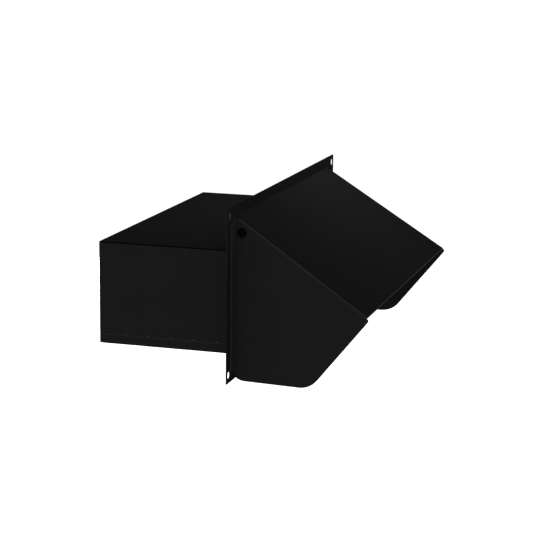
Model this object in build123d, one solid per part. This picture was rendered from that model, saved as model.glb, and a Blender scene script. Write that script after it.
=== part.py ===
from build123d import *
from math import atan, cos, degrees, hypot, radians, sin, sqrt, tan
import os

# Wall cap for a flat kitchen duct: a hood of folded steel on a wall plate, with a duct collar behind it,
# a hanging damper flap and a bird screen. Millimetres, +Z up, +Y into the wall, hood towards -Y.
# The origin is the middle of the wall plate's back face.

# Steel sheet of the plate, the hood and the collar, and the spot welds that join it
sheet = 0.6
bend_inside = 0.6
weld_diameter = 4.0
weld_depth = 0.12
flange_weld_count = 3

# Duct collar, outside sizes
duct_width = 254.0
duct_height = 82.55
duct_reach = 115.1
lap_height = 8.0
lap_front_gap = 1.0
lap_setback = 2.0
lap_edge_round = 0.4
lap_weld_radius = 1.5
lap_weld_first = 16.4
lap_weld_pitch = 19.2

# Wall plate
plate_above_duct = 37.3
plate_below_duct = 17.15
plate_beside_hood = 21.45
plate_corner = 1.0
screw_hole_diameter = 5.8
screw_hole_from_side = 5.6
screw_hole_from_end = 6.4
tab_relief = 0.8
tab_setback = 0.4
collar_clearance = 0.05

# Hood
hood_beside_duct = 7.25
hood_below_plate_top = 8.8
hood_below_plate = 1.7
hood_reach = 109.4
hood_slope = 32.95
hood_flare = 5.26
hood_bottom_depth = 62.1
mouth_corner = 19.0
tip_corner = 3.0
heel_corner = 11.5
heel_rise = 3.0
hem_setback = 2.4
hem_return = 6.0
hem_gap = 0.2
hem_relief = 0.5
tip_notch = 3.0
tip_notch_depth = 0.9
side_flange = 11.7
side_flange_low = 7.0
side_flange_low_end = 2.0
side_flange_low_taper = 3.0
side_flange_top = 0.5
side_flange_top_end = 3.4
side_flange_top_taper = 5.0
side_weld_inset = 6.5
side_weld_low = -44.0
side_weld_pitch = 41.0
top_flange = 7.0
top_flange_inset = 3.0
top_flange_taper = 5.0
top_weld_rise = 4.0
top_weld_pitch = 90.0

# Damper rod and the bushings that it turns in
pivot_above_duct = 15.8
rod_diameter = 3.2
rod_chamfer = 0.3
rod_end_play = 0.3
running_clearance = 0.05
bushing_wall = 1.35
bushing_snap = 0.5
bushing_lip = 0.9
bushing_head = 1.0
bushing_collar = 1.2
bushing_end_wall = 0.6
bushing_fit = 0.02
bushing_edge_gap = 0.1
head_round = 0.3

# Damper flap
flap_sheet = 0.5
flap_bend_inside = 0.5
flap_end_play = 0.8
flap_overlap = 3.3
flap_lip = 7.0
flap_seat_gap = 0.3
curl_clearance = 0.03

# Bird screen and its rails
wire = 1.0
wire_pitch = 12.7
wire_weld = 0.25
screen_inset = 7.0
screen_front_more = 2.5
screen_wall_gap = 1.0
screen_hem_gap = 1.0
rail_leg = 6.0
rail_sheet = 0.6
rail_fit = 0.02

# How far cutting shapes run past what they cut
past = 40.0

# Heights, from the plate's middle
plate_height = plate_above_duct + duct_height + plate_below_duct
plate_top = plate_height / 2
duct_top = plate_top - plate_above_duct
duct_bottom = duct_top - duct_height
duct_middle = (duct_top + duct_bottom) / 2
fold_z = plate_top - hood_below_plate_top
hood_bottom = -plate_height / 2 - hood_below_plate
pivot_z = duct_top + pivot_above_duct

# Widths, from the middle
hood_half = duct_width / 2 + hood_beside_duct
plate_half = hood_half + plate_beside_hood

# Folds, bushing and rod
bend_outside = bend_inside + sheet
flange_root = 2 * bend_outside
rod_radius = rod_diameter / 2
bore_radius = rod_radius + running_clearance
barrel_radius = bore_radius + bushing_wall
snap_radius = barrel_radius + bushing_snap
head_radius = barrel_radius + bushing_lip

# Depths, from the wall: the bushing's head clears the fold of the hood's side flange
plate_front = -sheet
flange_front = plate_front - sheet
pivot_y = flange_front - bend_inside - bushing_edge_gap - head_radius
flap_back = pivot_y - rod_radius - curl_clearance
seat_y = flap_back + flap_seat_gap

# Hood's slope and flare
slope = radians(hood_slope)
flare = tan(radians(hood_flare))
flare_stretch = hypot(1, flare)
tip_y = plate_front - hood_reach
tip_z = fold_z - hood_reach * tan(slope)
mouth_y = plate_front - hood_bottom_depth

# A side panel's own plane: x forward along the panel, y up, z inwards from its outer face
side_plane = Plane(origin=(hood_half, plate_front, 0), x_dir=(flare, -1, 0), z_dir=(-1, -flare, 0))
# The top's own plane, seen from the side: x down the slope from the fold, y out of its outer face
slope_plane = Plane(
    origin=(0, plate_front, fold_z), x_dir=(0, -cos(slope), -sin(slope)), z_dir=(-1, 0, 0)
)
# The plate's front face: x across, y up, z towards the hood
front_plane = Plane(origin=(0, plate_front, 0), x_dir=(1, 0, 0), z_dir=(0, -1, 0))


def polygon(points):
    return make_face(Polyline(*points, close=True))


def block(x0, x1, y0, y1):
    return Pos((x0 + x1) / 2, (y0 + y1) / 2) * Rectangle(x1 - x0, y1 - y0)


def round_corner(face, corner, radius):
    return fillet(face.vertices().sort_by_distance((*corner, 0))[0], radius)


def both_sides(piece):
    return [piece, mirror(piece, about=Plane.YZ)]


def one_solid(piece):
    return piece.solids()[0]


def top_z(y, depth):
    """Height of the hood's top at y, at a depth under its outer face."""
    return fold_z - (plate_front - y) * tan(slope) - depth / cos(slope)


def half_width(y, inset):
    """Half width of the hood at y, at an inset from its outer face."""
    return hood_half + (plate_front - y) * flare - inset * flare_stretch


def upright(plan):
    """A plan drawn in x and y, taken up and down past the whole cap."""
    return extrude(plan, amount=plate_height + past, both=True)


def across(profile):
    """A profile drawn in y and z, taken left and right past the whole cap."""
    return extrude(Plane.YZ * profile, amount=plate_half + past, both=True)


def inside_width(inset, y_back=past):
    """All that lies between the hood's sides, at an inset from their outer faces."""
    y_front = tip_y - past
    back, front = half_width(y_back, inset), half_width(y_front, inset)
    return upright(polygon([(back, y_back), (front, y_front), (-front, y_front), (-back, y_back)]))


# Wall plate: flat sheet, its opening edged by four tabs that are turned forward round the collar
def opening_tab(half_opening, length):
    wall = block(0, sheet, seat_y + tab_setback, -bend_outside)
    ring = Pos(bend_outside, -bend_outside) * (Circle(bend_outside) - Circle(bend_inside))
    bend = ring & block(0, bend_outside, -bend_outside, 0)
    foot = block(bend_outside, bend_outside + sheet, -sheet, 0)
    section = Pos(half_opening, 0) * (wall + bend + foot)
    return extrude(section, amount=length / 2, both=True)


def make_wall_plate():
    half_x = duct_width / 2 + collar_clearance
    half_z = duct_height / 2 + collar_clearance
    outline = RectangleRounded(2 * plate_half, plate_height, plate_corner)
    opening = Rectangle(2 * (half_x + bend_outside), 2 * (half_z + bend_outside))
    hole_x = plate_half - screw_hole_from_side
    hole_z = plate_top - screw_hole_from_end
    holes = GridLocations(2 * hole_x, 2 * hole_z, 2, 2) * Circle(screw_hole_diameter / 2)
    plate = extrude(front_plane * (outline - Pos(0, duct_middle) * opening - holes), amount=-sheet)
    side_tab = opening_tab(half_x, 2 * (half_z - tab_relief))
    top_tab = opening_tab(half_z, 2 * (half_x - tab_relief))
    for turn, tab in ((0, side_tab), (90, top_tab), (180, side_tab), (270, top_tab)):
        plate += Pos(0, 0, duct_middle) * Rot(0, turn, 0) * tab
    return one_solid(plate)


# Duct collar: one wrapped sheet, lapped low on the left side and tack welded along the lap's edge
def make_duct_collar():
    inside = RectangleRounded(duct_width - 2 * sheet, duct_height - 2 * sheet, bend_inside)
    ring = RectangleRounded(duct_width, duct_height, bend_outside) - inside
    mouth_plane = Plane(origin=(0, seat_y, duct_middle), x_dir=(-1, 0, 0), z_dir=(0, 1, 0))
    collar = extrude(mouth_plane * ring, amount=duct_reach - seat_y)
    lap_face = duct_width / 2 + sheet
    lap_foot = -duct_height / 2
    lap = block(lap_face - 2 * bend_outside, lap_face, lap_foot, lap_foot + lap_height)
    lap = round_corner(lap, (lap_face, lap_foot), bend_outside)
    lap = round_corner(lap, (lap_face, lap_foot + lap_height), lap_edge_round) - inside
    lap_end = duct_reach - lap_setback
    collar += extrude(mouth_plane.offset(lap_front_gap - seat_y) * lap, amount=lap_end - lap_front_gap)
    dome = Sphere(lap_weld_radius, arc_size1=0, align=(Align.CENTER, Align.CENTER, Align.MIN))
    weld_x = sheet / 2 - duct_width / 2
    weld_count = int((lap_end - lap_weld_radius - lap_weld_first) // lap_weld_pitch) + 1
    for i in range(weld_count):
        place = Pos(weld_x, lap_weld_first + i * lap_weld_pitch, duct_bottom + lap_height)
        collar += place * Rot(0, -90, 0) * dome
    return one_solid(collar)


# Hood: top and sides folded from one sheet, front edge hemmed, back edges turned out and spot welded
# to the plate
def fold_edges(solid):
    """The two edges where the hood's top meets its sides."""
    right = Vector(flare, -1, -tan(slope)).normalized()
    left = Vector(-right.X, right.Y, right.Z)
    folds = []
    for edge in solid.edges().filter_by(GeomType.LINE):
        along = edge.tangent_at(0.5)
        if max(abs(along.dot(right)), abs(along.dot(left))) > 0.99999:
            folds.append(edge)
    return folds


def under_top(depth):
    """All that lies under the hood's top, at a depth below its outer face."""
    front = tip_y - past
    low = hood_bottom - past
    profile = [(past, top_z(past, depth)), (front, top_z(front, depth)), (front, low), (past, low)]
    return across(polygon(profile))


def make_hood_shell():
    outer = under_top(0) & inside_width(0, plate_front)
    outer = fillet(fold_edges(outer), bend_outside)
    inner = under_top(sheet) & inside_width(sheet)
    inner = fillet(fold_edges(inner), bend_inside)
    heel_back = plate_front + heel_corner - sqrt(heel_rise * (2 * heel_corner - heel_rise))
    heel = (heel_back, hood_bottom)
    tip = (tip_y, tip_z)
    mouth = (mouth_y, hood_bottom)
    outline = polygon([(heel_back, top_z(heel_back, 0)), tip, mouth, heel])
    for corner, radius in ((tip, tip_corner), (mouth, mouth_corner), (heel, heel_corner)):
        outline = round_corner(outline, corner, radius)
    return (outer - inner) & across(outline)


def add_hem(hood):
    """Fold the front edge of the top back under itself."""
    radius = hem_gap / 2
    outer_radius = radius + sheet
    top_length = hood_reach / cos(slope)
    bend_s = top_length - hem_setback - outer_radius
    start_s = bend_s - hem_return
    strip = block(start_s, bend_s, -sheet, 0)
    ring = Pos(bend_s, -outer_radius) * (Circle(outer_radius) - Circle(radius))
    bend = ring & block(bend_s, bend_s + outer_radius, -2 * outer_radius, 0)
    under = block(start_s, bend_s, -2 * outer_radius, sheet - 2 * outer_radius)
    hem = across_slope(strip + bend + under) & inside_width(bend_outside + hem_relief)
    old_edge = block(start_s + hem_return / 2, top_length + past, -3 * sheet, 3 * sheet)
    notch = block(top_length - tip_notch, top_length + past, -tip_notch_depth, 3 * sheet)
    return hood - (across_slope(old_edge) & inside_width(bend_outside)) - across_slope(notch) + hem


def across_slope(profile):
    """A profile drawn in the slope's plane, taken left and right past the whole cap."""
    return extrude(slope_plane * profile, amount=plate_half + past, both=True)


def folded(points, concave, convex):
    """A bent strip's section: its outline with the two corners of the bend rounded."""
    section = round_corner(polygon(points), concave, bend_inside)
    return round_corner(section, convex, bend_outside)


def add_side_flange(hood):
    """Turn the back edge of the right side out on to the plate."""
    low = hood_bottom + side_flange_low
    high = fold_z - side_flange_top
    root_y = plate_front - flange_root
    outer = hood_half + side_flange
    low_end = hood_half + side_flange_low_end
    top_end = hood_half + side_flange_top_end
    concave = (half_width(flange_front, 0), flange_front)
    convex = (half_width(plate_front, sheet), plate_front)
    outer_root = (half_width(root_y, 0), root_y)
    inner_root = (half_width(root_y, sheet), root_y)
    rim = [(outer, flange_front), (outer, plate_front)]
    section = folded([outer_root, concave, *rim, convex, inner_root], concave, convex)
    inner = hood_half - past / 2
    face = polygon([
        (inner, low), (low_end, low), (outer, low + side_flange_low_taper),
        (outer, high - side_flange_top_taper), (top_end, high), (inner, high),
    ])
    strip = upright(section) & extrude(front_plane * face, amount=past, both=True)
    old_edge = Pos(0, 0, low) * extrude(block(inner, outer, root_y, sheet), amount=high - low)
    return hood - old_edge + strip


def add_top_flange(hood):
    """Turn the back edge of the top up on to the plate."""
    half = hood_half - top_flange_inset
    root_y = plate_front - flange_root
    high = fold_z + top_flange
    concave = (flange_front, top_z(flange_front, 0))
    convex = (plate_front, top_z(plate_front, sheet))
    outer_root = (root_y, top_z(root_y, 0))
    inner_root = (root_y, top_z(root_y, sheet))
    rim = [(flange_front, high), (plate_front, high)]
    section = folded([outer_root, concave, *rim, convex, inner_root], concave, convex)
    low = fold_z - past
    tapered = half - top_flange_taper
    face = polygon([
        (-half, low), (half, low), (half, fold_z), (tapered, high), (-tapered, high), (-half, fold_z),
    ])
    strip = across(section) & extrude(front_plane * face, amount=past, both=True)
    old_edge = extrude(Plane.YZ * block(root_y, sheet, low, high), amount=half, both=True)
    return hood - old_edge + strip


def make_hood():
    hood = add_hem(make_hood_shell())
    hood = add_side_flange(hood)
    hood = mirror(add_side_flange(mirror(hood, about=Plane.YZ)), about=Plane.YZ)
    hood = add_top_flange(hood)
    mark = Rot(90, 0, 0) * Cylinder(weld_diameter / 2, 2 * weld_depth)
    first_x = -(flange_weld_count - 1) / 2 * top_weld_pitch
    for i in range(flange_weld_count):
        hood -= Pos(first_x + i * top_weld_pitch, flange_front, fold_z + top_weld_rise) * mark
        side_z = side_weld_low + i * side_weld_pitch
        hood -= both_sides(Pos(hood_half + side_weld_inset, flange_front, side_z) * mark)
    hole = Cylinder(barrel_radius + bushing_fit, 4 * sheet)
    hood -= both_sides(side_plane * Pos(pivot_u, pivot_z, 0) * hole)
    return one_solid(hood)


# Damper pivot: a blind bushing snapped into each side of the hood, and the rod that turns in them
pivot_u = (plate_front - pivot_y) * flare_stretch
pivot_half = half_width(pivot_y, 0)
snap_start = sheet + bushing_fit
snap_end = snap_start + bushing_collar
bore_end = pivot_half + (bushing_head - bushing_end_wall) / flare_stretch


def make_bushing():
    def disc(radius, start, end):
        return Pos(0, 0, (start + end) / 2) * Cylinder(radius, end - start)

    head = disc(head_radius, -bushing_head, 0)
    head = fillet(head.edges().group_by(Axis.Z)[0], head_round)
    bushing = head + disc(barrel_radius, -bushing_head / 2, snap_end)
    bushing += disc(snap_radius, snap_start, snap_end)
    bushing = side_plane * Pos(pivot_u, pivot_z, 0) * bushing
    bore = Rot(0, 90, 0) * Cylinder(bore_radius, past)
    return one_solid(bushing - Pos(bore_end - past / 2, pivot_y, pivot_z) * bore)


def make_damper_rod():
    rod = Pos(0, pivot_y, pivot_z) * Rot(0, 90, 0) * Cylinder(rod_radius, 2 * (bore_end - rod_end_play))
    return one_solid(chamfer(rod.edges().filter_by(GeomType.CIRCLE), rod_chamfer))


# Damper flap: thin sheet, curled round the rod at the top and bent forward into a lip at the bottom
def make_damper_flap():
    flap_front = flap_back - flap_sheet
    flap_bottom = duct_bottom - sheet - flap_overlap
    lip_top = flap_bottom + flap_sheet
    curl_radius = rod_radius + curl_clearance
    curl = Circle(curl_radius + flap_sheet) - Circle(curl_radius)
    curl -= block(-2 * curl_radius, 0, -2 * curl_radius, 0)
    bent = block(flap_front, flap_back, flap_bottom, pivot_z)
    bent += block(flap_front - flap_lip, flap_front, flap_bottom, lip_top)
    bent = round_corner(bent, (flap_front, lip_top), flap_bend_inside)
    bent = round_corner(bent, (flap_back, flap_bottom), flap_bend_inside + flap_sheet)
    section = bent + Pos(pivot_y, pivot_z) * curl
    bushing_face = pivot_half - snap_end * flare_stretch - snap_radius * flare
    half = bushing_face - flap_end_play
    return one_solid(extrude(Plane.YZ * section, amount=half, both=True))


# Bird screen: welded mesh across the mouth, bent once to follow the sides' lower and front edges.
# It is drawn as the two flat panels on either side of the bend.
mouth_length = hypot(tip_y - mouth_y, tip_z - hood_bottom)
front_y = (tip_y - mouth_y) / mouth_length
front_z = (tip_z - hood_bottom) / mouth_length
mouth_turn = atan(front_z / -front_y)


def screen_path(inset):
    """Rear end, bend and front end of a line inside the mouth's edges, set back more at the front."""
    bend_y = mouth_y + (inset + screen_front_more + inset * front_y) / front_z
    bend_z = hood_bottom + inset
    hem_depth = 2 * sheet + hem_gap
    room = top_z(bend_y, hem_depth + screen_hem_gap) - bend_z
    run = room / (front_z - front_y * tan(slope))
    rear = (plate_front - screen_wall_gap, bend_z)
    return [rear, (bend_y, bend_z), (bend_y + run * front_y, bend_z + run * front_z)]


def path_band(inset, thickness):
    """Profile of a bent strip from an inset to a thickness inside it."""
    return polygon(screen_path(inset) + screen_path(inset + thickness)[::-1])


def right_slab(inset, thickness):
    """All that lies at an inset inside the right side's outer face, to a thickness."""
    y_front = tip_y - past
    face = [(half_width(y, inset), y) for y in (past, y_front)]
    back = [(half_width(y, inset + thickness), y) for y in (y_front, past)]
    return upright(polygon(face + back))


def make_screen_rail():
    """Angle strip: one leg on the hood's side, the other under the ends of the cross wires."""
    start = sheet + rail_fit
    foot = screen_inset - rail_sheet
    leg = across(path_band(foot, rail_sheet + rail_leg)) & right_slab(start, rail_sheet)
    shelf = across(path_band(foot, rail_sheet)) & right_slab(start, rail_leg)
    return one_solid(leg + shelf)


def make_screen_panel(end_of_path, turn):
    """One panel of the mesh: wires across on the rails' shelves, and bent wires welded on top of them."""
    lower = screen_path(screen_inset + wire / 2)
    bend, end = lower[1], lower[end_of_path]
    run = hypot(bend[0] - end[0], bend[1] - end[1])
    along = ((bend[0] - end[0]) / run, (bend[1] - end[1]) / run)
    room = inside_width(sheet + rail_fit + rail_sheet)
    wires = []
    for i in range(int((run - wire) // wire_pitch) + 1):
        distance = wire / 2 + i * wire_pitch
        place = Pos(end[0] + along[0] * distance, end[1] + along[1] * distance)
        wires.append(across(place * Rot(0, 0, -turn) * Rectangle(wire, wire)) & room)
    under = screen_path(screen_inset + wire - wire_weld)
    over = screen_path(screen_inset + 2 * wire - wire_weld)
    band = polygon([under[1], under[end_of_path], over[end_of_path], over[1]])
    half = half_width(plate_front, sheet + rail_fit + rail_sheet) - wire
    count = int(half // wire_pitch)
    for i in range(-count, count + 1):
        wires.append(extrude(Plane.YZ.offset(i * wire_pitch) * band, amount=wire / 2, both=True))
    return one_solid(wires[0] + wires[1:])


right_bushing, left_bushing = both_sides(make_bushing())
right_rail, left_rail = both_sides(make_screen_rail())
pieces = {
    "wall_plate": make_wall_plate(),
    "duct_collar": make_duct_collar(),
    "hood": make_hood(),
    "pivot_bushing_left": left_bushing,
    "pivot_bushing_right": right_bushing,
    "damper_rod": make_damper_rod(),
    "damper_flap": make_damper_flap(),
    "screen_rail_left": left_rail,
    "screen_rail_right": right_rail,
    "bird_screen_lower": make_screen_panel(0, 0),
    "bird_screen_front": make_screen_panel(2, degrees(mouth_turn)),
}
os.makedirs("parts", exist_ok=True)
for name, piece in pieces.items():
    export_step(piece, f"parts/{name}.step")
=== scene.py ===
import math

import bpy
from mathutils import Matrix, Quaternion, Vector


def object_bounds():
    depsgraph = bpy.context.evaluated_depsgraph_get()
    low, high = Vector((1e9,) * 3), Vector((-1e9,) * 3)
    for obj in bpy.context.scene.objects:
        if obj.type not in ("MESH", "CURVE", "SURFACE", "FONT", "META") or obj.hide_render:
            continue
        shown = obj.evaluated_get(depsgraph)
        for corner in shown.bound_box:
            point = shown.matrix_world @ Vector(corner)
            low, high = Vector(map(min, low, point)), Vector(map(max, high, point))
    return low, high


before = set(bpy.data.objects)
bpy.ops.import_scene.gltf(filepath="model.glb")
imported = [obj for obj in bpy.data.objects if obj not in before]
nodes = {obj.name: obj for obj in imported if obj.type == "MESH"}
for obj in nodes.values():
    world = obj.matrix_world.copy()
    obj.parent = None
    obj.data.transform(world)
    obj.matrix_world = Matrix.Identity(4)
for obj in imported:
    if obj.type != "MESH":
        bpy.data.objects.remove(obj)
cad_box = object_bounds()


# Wall plate: cold-rolled steel sheet of 0.6 mm, cut flat, with a screw hole in each corner.
# It is powder coated black in one piece with the hood and the collar, which are spot welded to it.
# The coat gives the eye an even dull black with a faint orange peel, and painted highlights make it lighter
# on folds and hole rims.
def linear(hex_colour):
    """An sRGB hex colour as linear RGBA."""
    channels = [int(hex_colour[i:i + 2], 16) / 255 for i in (1, 3, 5)]
    return [c / 12.92 if c <= 0.04045 else ((c + 0.055) / 1.055) ** 2.4 for c in channels] + [1.0]


def add_node(tree, kind, settings=None, links=None):
    """Add a node, set its attributes or sockets by name, and link its sockets from others."""
    node = tree.nodes.new(kind)
    for name, value in (settings or {}).items():
        if isinstance(name, str) and hasattr(node, name):
            setattr(node, name, value)
        else:
            node.inputs[name].default_value = value
    for name, source in (links or {}).items():
        tree.links.new(source, node.inputs[name])
    return node


def new_material(name, settings):
    """A material with one principled shader, its constants set on the shader's own sockets."""
    material = bpy.data.materials.new(name)
    material.use_nodes = True
    shader = material.node_tree.nodes["Principled BSDF"]
    for socket, value in settings.items():
        shader.inputs[socket].default_value = value
    return material, material.node_tree, shader


def cover(name, material):
    """Give a CAD piece one material all over."""
    nodes[name].data.materials.clear()
    nodes[name].data.materials.append(material)


def tint(coat, mask, tone):
    """A painted highlight or shade: another tone of the coat where a mask is 1."""
    mixed = add_node(
        coat["tree"], "ShaderNodeMix", {"data_type": "RGBA", 7: linear(tone)}, {0: mask, 6: coat["colour"]},
    )
    coat["colour"] = mixed.outputs[2]
    coat["tree"].links.new(coat["colour"], coat["shader"].inputs["Base Color"])


coat_thin = "#161616"
coat_thick = "#181818"
coat_patch_mm = 30.0
orange_peel_mm = 1.6
# How far a surface turns from the flat faces before it is a fold, and upwards before it gets a painted
# highlight
fold_turn = {"From Min": 0.995, "From Max": 0.95}
upward_turn = {"From Min": 0.05, "From Max": 0.25}


def powder_coat(name, flat_faces, fold_highlight_tone):
    """Black coat on folded sheet. What turns away from its flat faces is a fold, with a painted highlight if
    it faces up.
    """
    material, tree, shader = new_material(name, {
        "Roughness": 0.6,
        "IOR": 1.5,
        # In white surroundings the coat's gloss would lift the tops far above the black that is seen.
        "Specular IOR Level": 0.0,
    })
    coords = add_node(tree, "ShaderNodeTexCoord")
    normal = coords.outputs["Normal"]
    place = coords.outputs["Object"]
    flatness = None
    for direction in flat_faces:
        facing = add_node(
            tree, "ShaderNodeVectorMath",
            {"operation": "DOT_PRODUCT", 1: Vector(direction).normalized()}, {0: normal},
        )
        nearness = add_node(tree, "ShaderNodeMath", {"operation": "ABSOLUTE"}, {0: facing.outputs["Value"]})
        if flatness is not None:
            nearness = add_node(
                tree, "ShaderNodeMath", {"operation": "MAXIMUM"}, {0: flatness, 1: nearness.outputs[0]},
            )
        flatness = nearness.outputs[0]
    fold = add_node(tree, "ShaderNodeMapRange", fold_turn, {"Value": flatness})
    turn = add_node(tree, "ShaderNodeSeparateXYZ", links={"Vector": normal})
    upward = add_node(tree, "ShaderNodeMapRange", upward_turn, {"Value": turn.outputs["Z"]})
    upward_fold_highlight = add_node(
        tree, "ShaderNodeMath", {"operation": "MULTIPLY"},
        {0: fold.outputs["Result"], 1: upward.outputs["Result"]},
    )
    patches = add_node(
        tree, "ShaderNodeTexNoise", {"Scale": 1000 / coat_patch_mm, "Detail": 2.0}, {"Vector": place},
    )
    film = add_node(
        tree, "ShaderNodeMix", {"data_type": "RGBA", 6: linear(coat_thin), 7: linear(coat_thick)},
        {0: patches.outputs["Fac"]},
    )
    peel = add_node(
        tree, "ShaderNodeTexNoise", {"Scale": 1000 / orange_peel_mm, "Detail": 2.0}, {"Vector": place},
    )
    bump = add_node(
        tree, "ShaderNodeBump", {"Strength": 0.05, "Distance": 0.00005}, {"Height": peel.outputs["Fac"]},
    )
    tree.links.new(bump.outputs["Normal"], shader.inputs["Normal"])
    coat = {
        "material": material, "tree": tree, "shader": shader, "place": place, "turn": turn.outputs,
        "fold": fold.outputs["Result"], "colour": film.outputs[2],
    }
    # Painted highlight: folds that face up take a lighter tone.
    tint(coat, upward_fold_highlight.outputs[0], fold_highlight_tone)
    return coat


square_faces = [(1, 0, 0), (0, 1, 0), (0, 0, 1)]
plate_coat = powder_coat("black powder coat on flat plate", square_faces, "#303030")
plate_tree = plate_coat["tree"]
# Painted highlight: a lighter ring round each corner screw hole.
hole_place = (0.1501, 0.0, 0.0621)
hole_rim_radius = 0.00305
corner = add_node(plate_tree, "ShaderNodeVectorMath", {"operation": "ABSOLUTE"}, {0: plate_coat["place"]})
from_hole = add_node(
    plate_tree, "ShaderNodeVectorMath", {"operation": "DISTANCE", 1: hole_place},
    {0: corner.outputs["Vector"]},
)
hole_highlight = add_node(
    plate_tree, "ShaderNodeMath", {"operation": "LESS_THAN", 1: hole_rim_radius},
    {0: from_hole.outputs["Value"]},
)
tint(plate_coat, hole_highlight.outputs[0], "#3c3c3c")
cover("wall_plate", plate_coat["material"])


# Duct collar: one steel sheet of 0.6 mm, wrapped into a flat box and lapped and tack welded low on the left.
# It is pushed through the plate's opening and has the same black coat.
# Its upper folds are drawn darker than the flats, a painted shade, and the lap's edge lighter, a painted
# highlight, as the photograph shows them.
def line_along(coat, tone, facing, spread, side, beyond):
    """A painted highlight or shade on folds that face a direction, left and right alike, where they lie
    beyond a plane.
    """
    tree = coat["tree"]
    turn = coat["turn"]
    sideways = add_node(tree, "ShaderNodeMath", {"operation": "ABSOLUTE"}, {0: turn["X"]})
    either_side = add_node(
        tree, "ShaderNodeCombineXYZ", links={"X": sideways.outputs[0], "Y": turn["Y"], "Z": turn["Z"]},
    )
    leaning = add_node(
        tree, "ShaderNodeVectorMath", {"operation": "DOT_PRODUCT", 1: Vector(facing).normalized()},
        {0: either_side.outputs["Vector"]},
    )
    soft_edge = 0.07
    near = add_node(
        tree, "ShaderNodeMapRange", {"From Min": spread, "From Max": spread + soft_edge},
        {"Value": leaning.outputs["Value"]},
    )
    reach = add_node(tree, "ShaderNodeVectorMath", {"operation": "DOT_PRODUCT", 1: side}, {0: coat["place"]})
    there = add_node(
        tree, "ShaderNodeMath", {"operation": "GREATER_THAN", 1: beyond}, {0: reach.outputs["Value"]},
    )
    line = add_node(
        tree, "ShaderNodeMath", {"operation": "MULTIPLY"}, {0: coat["fold"], 1: near.outputs["Result"]},
    )
    mask = add_node(
        tree, "ShaderNodeMath", {"operation": "MULTIPLY"}, {0: line.outputs[0], 1: there.outputs[0]},
    )
    tint(coat, mask.outputs[0], tone)


collar_coat = powder_coat("black powder coat on wrapped collar", square_faces, "#2e2e2e")
# Painted shade: a near-black line on the lower flank of the collar's upper folds, above its middle.
line_along(collar_coat, "#030303", facing=(0.87, 0, 0.5), spread=0.62, side=(0, 0, 1), beyond=0.0)
cover("duct_collar", collar_coat["material"])

# Hood: top and sides folded from one steel sheet of 0.6 mm, with a hem along the front edge.
# Flanges turned out at its back are spot welded to the plate, and the coat goes over all of it.
# The coat is drawn lighter on the hem, folds, flanges and their cut edges, a painted highlight, as the
# photograph shows them.
hood_slope = math.radians(32.95)
hood_flare = math.tan(math.radians(5.26))
top_flange_ends = [(0.814, 0, 0.581), (-0.814, 0, 0.581)]
hood_faces = [
    (1, hood_flare, 0), (1, -hood_flare, 0), (0, -math.sin(hood_slope), math.cos(hood_slope)),
    (0, 1, 0), (0, 0, 1), *top_flange_ends,
]
hood_highlight = "#242424"
hood_coat = powder_coat("black powder coat on folded hood", hood_faces, hood_highlight)
hood_tree = hood_coat["tree"]
# Painted highlight: the flanges' forward faces and their cut edges take the lighter tone.
flange_start = 0.1348
flange_end = 0.1455
flange_facing = {"From Min": -0.9, "From Max": -0.97, "To Max": 0.6}
spot = add_node(hood_tree, "ShaderNodeSeparateXYZ", links={"Vector": hood_coat["place"]})
aside = add_node(hood_tree, "ShaderNodeMath", {"operation": "ABSOLUTE"}, {0: spot.outputs["X"]})
outer = add_node(
    hood_tree, "ShaderNodeMath", {"operation": "GREATER_THAN", 1: flange_start}, {0: aside.outputs[0]},
)
forward = add_node(hood_tree, "ShaderNodeMapRange", flange_facing, {"Value": hood_coat["turn"]["Y"]})
flange = add_node(
    hood_tree, "ShaderNodeMath", {"operation": "MULTIPLY"},
    {0: outer.outputs[0], 1: forward.outputs["Result"]},
)
cut_edge = add_node(
    hood_tree, "ShaderNodeMath", {"operation": "GREATER_THAN", 1: flange_end}, {0: aside.outputs[0]},
)
rim = add_node(
    hood_tree, "ShaderNodeMath", {"operation": "MAXIMUM"}, {0: cut_edge.outputs[0], 1: flange.outputs[0]},
)
tint(hood_coat, rim.outputs[0], hood_highlight)
# Painted highlight: a light line along the nose of the front hem.
line_along(hood_coat, "#464646", facing=(0, -0.87, 0.5), spread=0.87, side=(0, -1, 0), beyond=0.05)
cover("hood", hood_coat["material"])

# Pivot bushings: two small plugs of black nylon, injection moulded and snapped into the hood's sides.
# Plain moulded nylon is darker than the coat around it, with a fine grain from its mould.
# The grain is drawn coarser than the real 0.1 mm so that it shows at all.
nylon, nylon_tree, nylon_shader = new_material("black nylon, moulded", {
    "Base Color": linear("#060606"),
    "Roughness": 0.5,
    "IOR": 1.53,
    "Specular IOR Level": 0.0,
})
mould_grain_mm = 0.5
nylon_coords = add_node(nylon_tree, "ShaderNodeTexCoord")
nylon_grain = add_node(
    nylon_tree, "ShaderNodeTexNoise", {"Scale": 1000 / mould_grain_mm, "Detail": 2.0},
    {"Vector": nylon_coords.outputs["Object"]},
)
nylon_bump = add_node(
    nylon_tree, "ShaderNodeBump", {"Strength": 0.2, "Distance": 0.00004},
    {"Height": nylon_grain.outputs["Fac"]},
)
nylon_tree.links.new(nylon_bump.outputs["Normal"], nylon_shader.inputs["Normal"])
cover("pivot_bushing_left", nylon)
cover("pivot_bushing_right", nylon)

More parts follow.
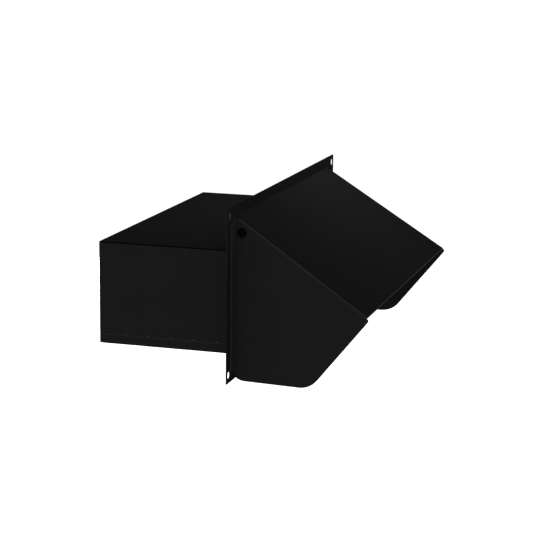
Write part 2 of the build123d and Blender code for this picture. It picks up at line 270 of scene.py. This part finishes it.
# Damper rod: drawn steel rod of 3.2 mm, zinc plated, which turns in the bushings.
# The plating is bright grey with a slightly cloudy gloss.
zinc, zinc_tree, zinc_shader = new_material("zinc-plated steel", {
    "Base Color": linear("#b9bbbd"),
    "Metallic": 1.0,
})
cloud_mm = 5.0
zinc_coords = add_node(zinc_tree, "ShaderNodeTexCoord")
zinc_clouds = add_node(
    zinc_tree, "ShaderNodeTexNoise", {"Scale": 1000 / cloud_mm, "Detail": 3.0},
    {"Vector": zinc_coords.outputs["Object"]},
)
zinc_rough = add_node(
    zinc_tree, "ShaderNodeMapRange", {"To Min": 0.28, "To Max": 0.44}, {"Value": zinc_clouds.outputs["Fac"]},
)
zinc_tree.links.new(zinc_rough.outputs["Result"], zinc_shader.inputs["Roughness"])
cover("damper_rod", zinc)

# Damper flap: mill-finish aluminium sheet of 0.5 mm, curled round the rod and bent into a lip below.
# It hangs against the collar's mouth. Rolling leaves fine lines across the sheet and a soft grey sheen.
# The lines are drawn coarser than the real 0.1 mm so that they show.
mill, mill_tree, mill_shader = new_material("mill-finish aluminium sheet", {
    "Base Color": linear("#b4b6b8"),
    "Metallic": 1.0,
})
rolling_line_mm = 0.9
rolling_run_mm = 33.0
lines_per_metre = 1000 / rolling_line_mm
mill_coords = add_node(mill_tree, "ShaderNodeTexCoord")
mill_stretch = add_node(
    mill_tree, "ShaderNodeMapping", {"Scale": (1000 / rolling_run_mm, lines_per_metre, lines_per_metre)},
    {"Vector": mill_coords.outputs["Object"]},
)
mill_lines = add_node(
    mill_tree, "ShaderNodeTexNoise", {"Scale": 1.0, "Detail": 3.0}, {"Vector": mill_stretch.outputs[0]},
)
mill_rough = add_node(
    mill_tree, "ShaderNodeMapRange", {"To Min": 0.3, "To Max": 0.48}, {"Value": mill_lines.outputs["Fac"]},
)
mill_tree.links.new(mill_rough.outputs["Result"], mill_shader.inputs["Roughness"])
cover("damper_flap", mill)

# Bird screen and its rails: welded mesh of 1 mm steel wire, on two folded strips inside the hood's sides.
# Both have the cap's black coat, with a painted highlight that makes the rails' upward-facing edges a little
# lighter.
screen_coat = powder_coat("black powder coat on wire mesh", square_faces, "#303030")
for name in ("bird_screen_lower", "bird_screen_front", "screen_rail_left", "screen_rail_right"):
    cover(name, screen_coat["material"])

# Studio: a wide pale floor below the cap, which hangs as on its wall, and soft light from all round.
# The floor and the sky behind it look white to the camera and in reflections. The floor keeps the shadow.
floor_drop = 0.28
floor_half = 20.0
floor_z = cad_box[0].z - floor_drop
floor_mesh = bpy.data.meshes.new("studio floor")
floor_signs = [(-1, -1), (1, -1), (1, 1), (-1, 1)]
floor_corners = [(x * floor_half, y * floor_half, floor_z) for x, y in floor_signs]
floor_mesh.from_pydata(floor_corners, [], [(0, 1, 2, 3)])
floor = bpy.data.objects.new("studio floor", floor_mesh)
bpy.context.scene.collection.objects.link(floor)


def seen_directly(tree):
    """1 for camera, glossy and transmission rays, 0 for the light that falls on things."""
    path = add_node(tree, "ShaderNodeLightPath").outputs
    mirrored = add_node(
        tree, "ShaderNodeMath", {"operation": "MAXIMUM"},
        {0: path["Is Glossy Ray"], 1: path["Is Transmission Ray"]},
    )
    seen = add_node(
        tree, "ShaderNodeMath", {"operation": "MAXIMUM"}, {0: path["Is Camera Ray"], 1: mirrored.outputs[0]},
    )
    return seen.outputs[0]


paper, paper_tree, paper_shader = new_material("white paper sweep", {
    "Base Color": linear("#f2f2f2"),
    "Roughness": 0.9,
    "Emission Color": linear("#ffffff"),
})
paper_white = 0.6
paper_glow = add_node(
    paper_tree, "ShaderNodeMath", {"operation": "MULTIPLY", 1: paper_white}, {0: seen_directly(paper_tree)},
)
paper_tree.links.new(paper_glow.outputs[0], paper_shader.inputs["Emission Strength"])
floor_mesh.materials.append(paper)

world = bpy.data.worlds.new("white studio")
world.use_nodes = True
bpy.context.scene.world = world
sky = world.node_tree.nodes["Background"]
sky.inputs["Color"].default_value = linear("#ffffff")
sky_light = 0.5
sky_white = 1.0
sky_level = add_node(
    world.node_tree, "ShaderNodeMapRange", {"To Min": sky_light, "To Max": sky_white},
    {"Value": seen_directly(world.node_tree)},
)
world.node_tree.links.new(sky_level.outputs["Result"], sky.inputs["Strength"])


def soft_light(name, place, size, power):
    """A square soft light at a place, turned towards the cap."""
    lamp = bpy.data.lights.new(name, "AREA")
    lamp.shape = "SQUARE"
    lamp.size = size
    lamp.energy = power
    lit = bpy.data.objects.new(name, lamp)
    lit.location = place
    lit.rotation_euler = (-Vector(place)).to_track_quat("-Z", "Y").to_euler()
    bpy.context.scene.collection.objects.link(lit)


soft_light("top light", (0.1, -0.035, 0.21), 0.16, 0.36)
soft_light("side light", (-1.7, -0.2, 0.0), 0.8, 15.5)
soft_light("front light", (-0.3, -1.7, 0.0), 0.8, 2.8)
soft_light("back light", (1.3, 1.1, 0.0), 0.8, 16.5)

# Camera: a long lens a little above the cap, on its left, from the photograph's angle.
# Its place, lens and roll were fitted to the photograph, with the collar taken as 254 x 82.55 mm.
camera_data = bpy.data.cameras.new("camera")
camera_data.sensor_width = 36.0
camera_data.lens = 118.25
camera = bpy.data.objects.new("camera", camera_data)
bpy.context.scene.collection.objects.link(camera)
bpy.context.scene.camera = camera
aim = Vector((0.0, 0.0121, -0.0100))
distance = 1.4991
azimuth = math.radians(-73.276)
elevation = math.radians(11.899)
roll = math.radians(0.604)
level_x = math.sin(azimuth) * math.cos(elevation)
level_y = -math.cos(azimuth) * math.cos(elevation)
back = Vector((level_x, level_y, math.sin(elevation)))
camera.location = aim + back * distance
level = (-back).to_track_quat("-Z", "Y")
camera.rotation_euler = (level @ Quaternion((0, 0, 1), roll)).to_euler()
bpy.context.scene.view_settings.view_transform = "Standard"
